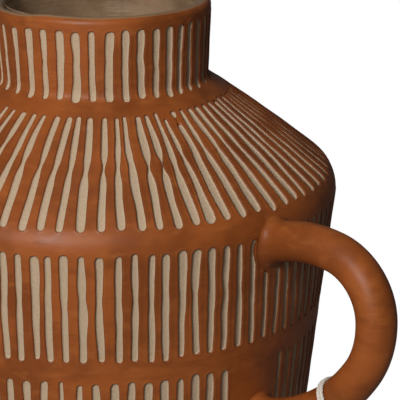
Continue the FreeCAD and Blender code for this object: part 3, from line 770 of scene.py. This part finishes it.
# Body coats: three bands of slip down the wall, each with its row of upright strokes. The
# upper two have shorter strokes, or none, where the handle's roots sit.
BODY_WIDTH, FAN = 3.7, 0.027
HANDLE_ROOT, ROOT_CLEAR, LOWER_ROOT_CLEAR = 173.3, 13.6, math.radians(8.5)
ROWS = [
    # piece, node, strokes, band's top and foot, strokes' top and foot, strokes in view
    ("upper_skin", "upper_coat", 94, SHOULDER_FOOT, 119.55, 178.0, 124.6,
     [-46.4, -42.4, -38.5, -34.7, -30.9, -27.7, -24.3, -20.6, -16.6, -13.4, -9.6, -5.6, -1.5,
      2.8, 6.5, 10.4, 13.8, 17.6, 21.4, 25.0, 28.8, 32.8, 36.9, 40.9, 44.9, 48.9]),
    ("middle_skin", "middle_coat", 86, 119.55, 58.05, 114.6, 63.6,
     [-46.5, -42.3, -38.1, -33.9, -29.7, -25.5, -20.8, -15.9, -11.7, -7.3, -2.9, 2.0, 5.9,
      10.2, 14.3, 18.6, 22.6, 26.5, 31.0, 34.7, 38.1]),
    ("lower_skin", "lower_coat", 80, 58.0, 4.0, 52.3, 14.3, [-45, -40.5, -36]),
]
for name, node, count, band_top, band_foot, top, foot, measured in ROWS:
    foot_angle, top_angle = (spaced(count, np.array(measured) * (1 + fan))
                             for fan in (FAN, -FAN))
    row = new_row(rng, foot_angle, top_angle, foot, top, (BODY_WIDTH, BODY_WIDTH))
    if name == "upper_skin":
        row["roots"] = [(at_height(HANDLE_ROOT), ROOT_CLEAR)]
    if name == "middle_skin":
        from_handle = np.abs((foot_angle + math.pi) % (2 * math.pi) - math.pi)
        row["depth"][from_handle < LOWER_ROOT_CLEAR] = 0
    low, high = at_height(band_foot), at_height(band_top)
    outer, angle, along, cut = carved_band(rng, low, high, row)
    mesh = closed_coat(name, outer, angle, along, cut,
                       [(spot, COAT_BACK) for spot in np.linspace(high, low, 12)])
    mesh.materials.append(slip)
    link_piece(name, mesh, [node])

# Handle: a thick roll of clay bent into a loop, luted to the wall under the shoulder edge
# and lower down, smoothed at both roots and covered in the same slip.
HANDLE_RADIUS, HANDLE_START, HANDLE_HEADING = 9.2, (108.5, 171.1), 23.4
# Each bend of the roll's middle line: its radius and how many degrees it turns.
BENDS = [(73.6, 32.4), (28.4, 77), (43, 38), (89, 52.4)]
ROOT_SPREAD, ROOT_REACH, ROOT_PROUD, ROOT_DEPTH, BELOW_LIP = 3.8, 6.5, 0.12, 1.1, -60.0


def handle_line():
    """The roll's middle line: four arcs, each bending down from where the last one ends."""
    place, heading = np.array(HANDLE_START), math.radians(HANDLE_HEADING)
    line = []
    for radius, turn in BENDS:
        sweep = heading - np.radians(np.linspace(0, turn, int(turn * radius / 40) + 8))
        step = radius * np.stack([math.sin(heading) - np.sin(sweep),
                                  np.cos(sweep) - math.cos(heading)], 1)
        line.append(place + step[:-1])
        place, heading = place + step[-1], sweep[-1]
    line.append([place])
    line = np.vstack(line)
    return np.concatenate([[0], np.cumsum(np.linalg.norm(np.diff(line, axis=0), axis=1))]), line


def roll_surface(spot, angle):
    """A circle carried along the middle line, its radius uneven by hand in slow sines."""
    travel, line = handle_line()
    way = np.gradient(line, travel, axis=0)
    place_x, place_z, way_x, way_z = (np.interp(spot, travel, column)
                                      for column in (*line.T, *way.T))
    radius = HANDLE_RADIUS * (1 + 0.012 * np.sin(2 * angle + spot / 17)
                              + 0.008 * np.sin(3 * angle - spot / 9)
                              + 0.009 * np.sin(spot / 11 + 0.6))
    rise = radius * np.cos(angle) / np.hypot(way_x, way_z)
    return np.stack([place_x - way_z * rise, -radius * np.sin(angle), place_z + way_x * rise], -1)


def root_fillet(spots, angle):
    """Where the roll meets the wall: rows from inside the wall out to the free roll.

    Each column is a quadratic Bezier. It leaves the wall along its surface, has its corner
    where the plain roll would meet the wall, and joins the roll ROOT_REACH further out.
    Returns the rows and how far along the roll they end.
    """
    tries = roll_surface(spots[:, None], angle)
    beyond = np.hypot(tries[..., 0], tries[..., 1]) - at_radius(at_height(tries[..., 2])) - 0.3
    first = np.argmax(beyond > 0, axis=0)[None]
    before, after = (np.take_along_axis(beyond, first + k, 0) for k in (-1, 0))
    meets = spots[first - 1] + (spots[first] - spots[first - 1]) * before / (before - after)
    joins = meets + np.sign(spots[-1] - spots[0]) * ROOT_REACH
    corner, free = roll_surface(meets, angle), roll_surface(joins, angle)
    around = np.arctan2(corner[..., 1], corner[..., 0])
    sideways, upward = around * at_radius(at_height(corner[..., 2])), corner[..., 2]
    upward = upward - upward.mean()
    away = ROOT_SPREAD / np.hypot(sideways, upward)
    foot_angle = around * (1 + away)
    foot_along = at_height(corner[..., 2] + upward * away)
    foot = skin(foot_angle, foot_along, ROOT_PROUD)
    part = np.linspace(0, 1, 12)[:, None, None]
    curve = (1 - part) ** 2 * foot + 2 * part * (1 - part) * corner + part ** 2 * free
    buried = skin(foot_angle, foot_along, ROOT_DEPTH)
    return np.concatenate([buried, curve[:-1]]), joins


def clay_roll(columns=72):
    """The whole handle: a fillet on the wall, the free roll, and the other fillet."""
    angle = np.linspace(0, 2 * math.pi, columns, endpoint=False)[None, :]
    whole = handle_line()[0][-1]
    upper, start = root_fillet(np.linspace(0, 30, 121), angle)
    lower, stop = root_fillet(np.linspace(whole, whole - 30, 121), angle)
    free = roll_surface(start + (stop - start) * np.linspace(0, 1, 150)[:, None], angle)
    return np.concatenate([upper, free, lower[::-1]])


points = clay_roll()
whole = np.ones(points.shape[:2])
roll_mesh = grid_mesh("loop_handle", points, False,
                      {"cut": whole * NO_CUT, "past_lip": whole * BELOW_LIP})
roll_mesh.materials.append(slip)
link_piece("loop_handle", roll_mesh, ["handle"])

# Glaze lining: a taupe glaze poured in and drained, from the floor up to the inside of the
# lip, where it thins out over the slip.
GLAZE, GLAZE_END = 0.5, 271


def lining(columns=192):
    """The glaze's section turned about the axis: its wetted side, then its hidden side.

    The side follows the outside at the wall's thickness, with soft throwing ridges. Its
    points are (radius, height), from the middle of the floor to the lip.
    """
    inner = [(0.02, 8.6), (30, 8.6), (60, 8.6), (80, 8.6), (83.6, 9.4), (86.6, 13.6),
             (88.6, 30), (94.5, 80), (100.4, 130), (105.6, 172), (106.2, 180), (104.0, 186.5),
             (98, 191.2), (80, 204.6), (60, 219.5), (47.2, 228.6), (44.9, 231.0),
             (44.5, 234.5), (44.9, 245), (45.3, 258), (45.7, 266), (46.05, 268.4), (46.9, 269.9)]
    line = np.array(inner)
    travel = np.concatenate([[0], np.cumsum(np.linalg.norm(np.diff(line, axis=0), axis=1))])
    spots = np.unique(np.concatenate([np.linspace(0, travel[-1], 170), travel]))
    line = np.stack([np.interp(spots, travel, line[:, i]) for i in (0, 1)], 1)
    for _ in range(4):
        line[1:-1] = (line[:-2] + 2 * line[1:-1] + line[2:]) / 4
    way = np.gradient(line, axis=0)
    way /= np.linalg.norm(way, axis=1)[:, None]
    angle = np.linspace(0, 2 * math.pi, columns, endpoint=False)[None, :]
    ridge = 0.16 * np.sin(spots / 1.7) * np.clip((line[:, 0] - 20) / 30, 0, 1)
    shift = ridge[:, None] + 0.1 * np.sin(3 * angle + spots[:, None] / 14)
    thin = np.clip((GLAZE_END - line[:, 1]) / 6, 0.1, 1)[:, None]

    def turned(inset):
        """The section moved out into the wall by the inset and turned about the axis."""
        radius = line[:, 0, None] + way[:, 1, None] * inset
        height = line[:, 1, None] - way[:, 0, None] * inset
        radius, height = np.broadcast_arrays(radius, height + 0 * angle)
        return np.stack([radius * np.cos(angle), radius * np.sin(angle), height], -1)

    wetted, back = turned(shift * 0.7 * thin), turned(GLAZE * thin)
    return np.concatenate([back, wetted[::-1]])


# The glaze is cloudy and specked, with faint rings left by the wheel.
glaze, shader, sockets = new_material("taupe_glaze")
place = shader.own_place()
cloud = shader.noise(place, 45, 4, 0.6)
speck = shader.noise(place, 700, 3, 0.7)
rings = shader.noise(place, 40, 3, 0.6, stretch=(1, 1, 14))
glaze_colour = shader.blend(shader.ramp(cloud, 0.3, 0.7), DARK_TAUPE, TAUPE)
glaze_colour = shader.blend(shader.ramp(rings, 0.5, 0.75, 0.0, 0.5), glaze_colour, THIN_TAUPE)
feed(shader, sockets["Base Color"],
     shader.blend(shader.ramp(speck, 0.6, 0.75, 0.0, 0.5), glaze_colour, DARK_TAUPE))
feed(shader, sockets["Roughness"], shader.ramp(cloud, 0.3, 0.8, 0.2, 0.34))
bumped(shader, sockets, rings * 0.6 + speck * 0.3, 0.0004)
glaze_mesh = grid_mesh("glaze_lining", lining(), True)
glaze_mesh.materials.append(glaze)
link_piece("glaze_lining", glaze_mesh, ["inner_glaze"])

# Pale clay of the base and of the walls under the slip: unglazed, dry and sandy. The base
# shows under the jar, the walls nowhere.
clay, shader, sockets = new_material("pale_clay")
place = shader.own_place()
grit = shader.noise(place, 650, 4, 0.75)
grain = shader.noise(place, 1500, 3, 0.7)
feed(shader, sockets["Base Color"], bare_clay(shader, grit, grain))
sockets["Roughness"].default_value = 0.92
bumped(shader, sockets, grit * 0.8 + grain * 0.4, 0.0003)
for node_name in ("base_slab", "body_wall", "shoulder"):
    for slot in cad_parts[node_name].material_slots:
        slot.material = clay

# Studio: a plain white floor and surround, one large soft lamp high on the left, and a dim
# fill, so that the right side of the jar falls into shade.
LIT_PLACE = Vector((0, 0, 0.17))
LAMPS = [
    # name, degrees right of the camera, degrees up, distance, size, watts
    ("key", -24, 28, 1.6, 0.42, 22.5),
    ("fill", -30, 70, 1.6, 0.9, 1.5),
]
for name, around, above, distance, size, watts in LAMPS:
    lamp_data = bpy.data.lights.new(name, "AREA")
    lamp_data.shape = "SQUARE"
    lamp_data.size = size
    lamp_data.energy = watts
    lamp = bpy.data.objects.new(name, lamp_data)
    bpy.context.collection.objects.link(lamp)
    heading, rise = math.radians(around + CAMERA_SIDE), math.radians(above)
    lamp.location = LIT_PLACE + distance * Vector((math.cos(rise) * math.cos(heading),
                                                   math.cos(rise) * math.sin(heading),
                                                   math.sin(rise)))
    lamp.rotation_euler = (LIT_PLACE - lamp.location).to_track_quat("-Z", "Y").to_euler()

FLOOR_HALF, FLOOR_GREY, SURROUND_GREY = 3.0, (0.3, 0.29, 0.28, 1), (0.085, 0.085, 0.085, 1)
WHITE = (1, 1, 1, 1)
floor_mesh = bpy.data.meshes.new("floor")
floor_mesh.from_pydata([(-FLOOR_HALF, -FLOOR_HALF, 0), (FLOOR_HALF, -FLOOR_HALF, 0),
                        (FLOOR_HALF, FLOOR_HALF, 0), (-FLOOR_HALF, FLOOR_HALF, 0)], [],
                       [(0, 1, 2, 3)])
floor = bpy.data.objects.new("floor", floor_mesh)
bpy.context.collection.objects.link(floor)
floor_paint = bpy.data.materials.new("floor_paint")
floor_paint.use_nodes = True
paper = Shader(floor_paint.node_tree)
seen = paper.node("ShaderNodeLightPath")
white = paper.node("ShaderNodeEmission", {}, WHITE, 1.0)
matte = paper.node("ShaderNodeBsdfDiffuse", {}, FLOOR_GREY)
mixed = paper.node("ShaderNodeMixShader", {}, seen, matte, white)
output = floor_paint.node_tree.nodes["Material Output"]
floor_paint.node_tree.links.new(mixed.socket, output.inputs["Surface"])
floor_mesh.materials.append(floor_paint)

world = bpy.data.worlds.new("surround")
bpy.context.scene.world = world
world.use_nodes = True
sky = Shader(world.node_tree)
seen = sky.node("ShaderNodeLightPath")
shade = sky.blend(seen, SURROUND_GREY, WHITE)
background = world.node_tree.nodes["Background"]
world.node_tree.links.new(shade.socket, background.inputs["Color"])
